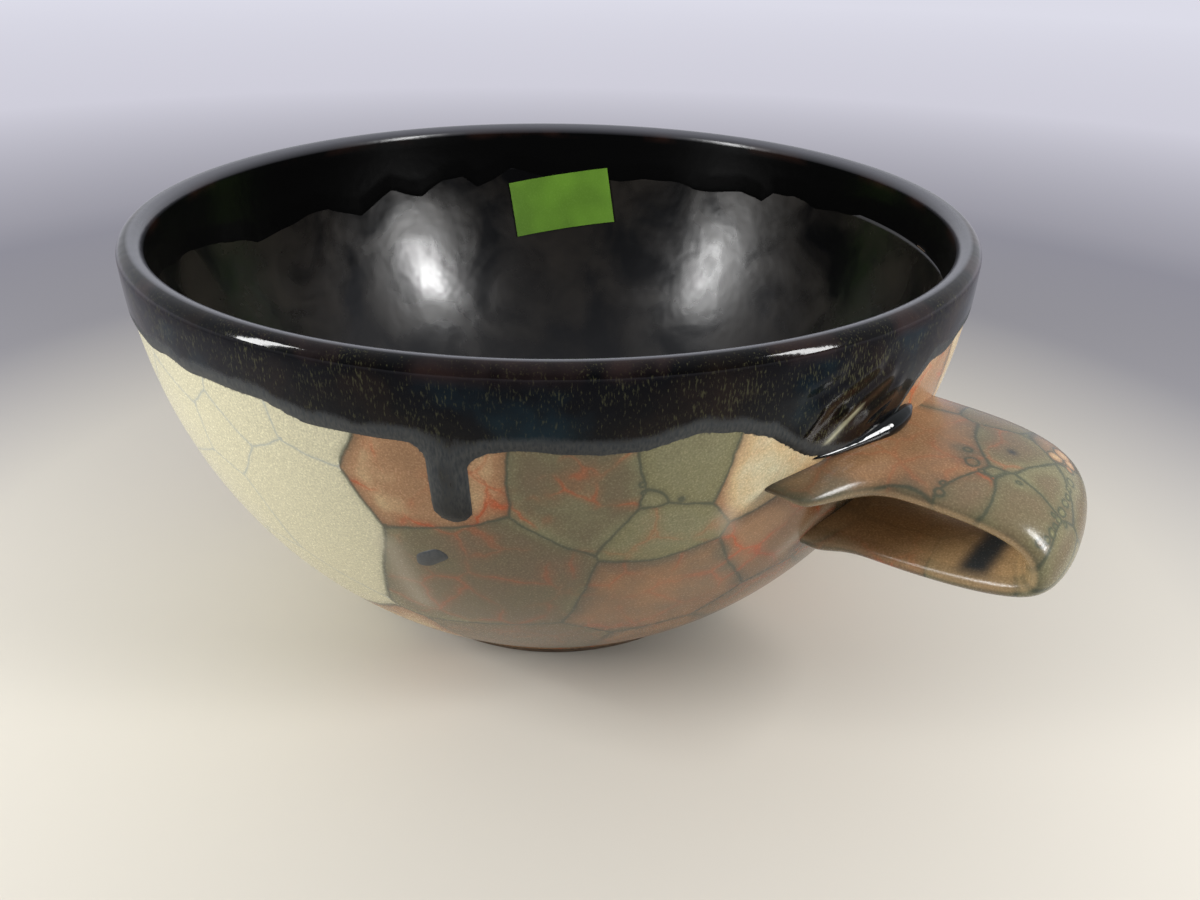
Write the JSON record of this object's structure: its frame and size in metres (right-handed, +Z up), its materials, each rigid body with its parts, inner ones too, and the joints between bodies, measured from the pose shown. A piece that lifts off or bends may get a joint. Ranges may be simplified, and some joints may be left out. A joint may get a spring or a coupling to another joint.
{
  "type": "lug soup bowl",
  "caption": "Deep round stoneware soup bowl with a foot ring and one short pulled strap handle, glazed dark inside and mottled tan outside.",
  "frame": {"origin": "centre of the foot ring's resting plane, on the bowl's axis", "axes": "+Z up along the bowl's axis; +X from the axis out along the handle's middle plane"},
  "size_m": [0.1747, 0.1482, 0.0758],
  "materials": {
    "bare_clay": "matte",
    "liner_black": "satin",
    "rim_black": "gloss",
    "tan_glaze": "satin",
    "green_paper": "matte"
  },
  "bodies": {
    "root": {"bowl_wall": "bare_clay", "foot_ring": "bare_clay", "handle_strap": "bare_clay", "upper_joint": "bare_clay", "lower_joint": "bare_clay", "liner_glaze": "liner_black", "body_glaze": "tan_glaze", "rim_glaze": "rim_black", "glaze_splash": "rim_black", "handle_glaze": "tan_glaze", "crease_glaze": "rim_black", "paper_label": "green_paper"}
  },
  "joints": []
}
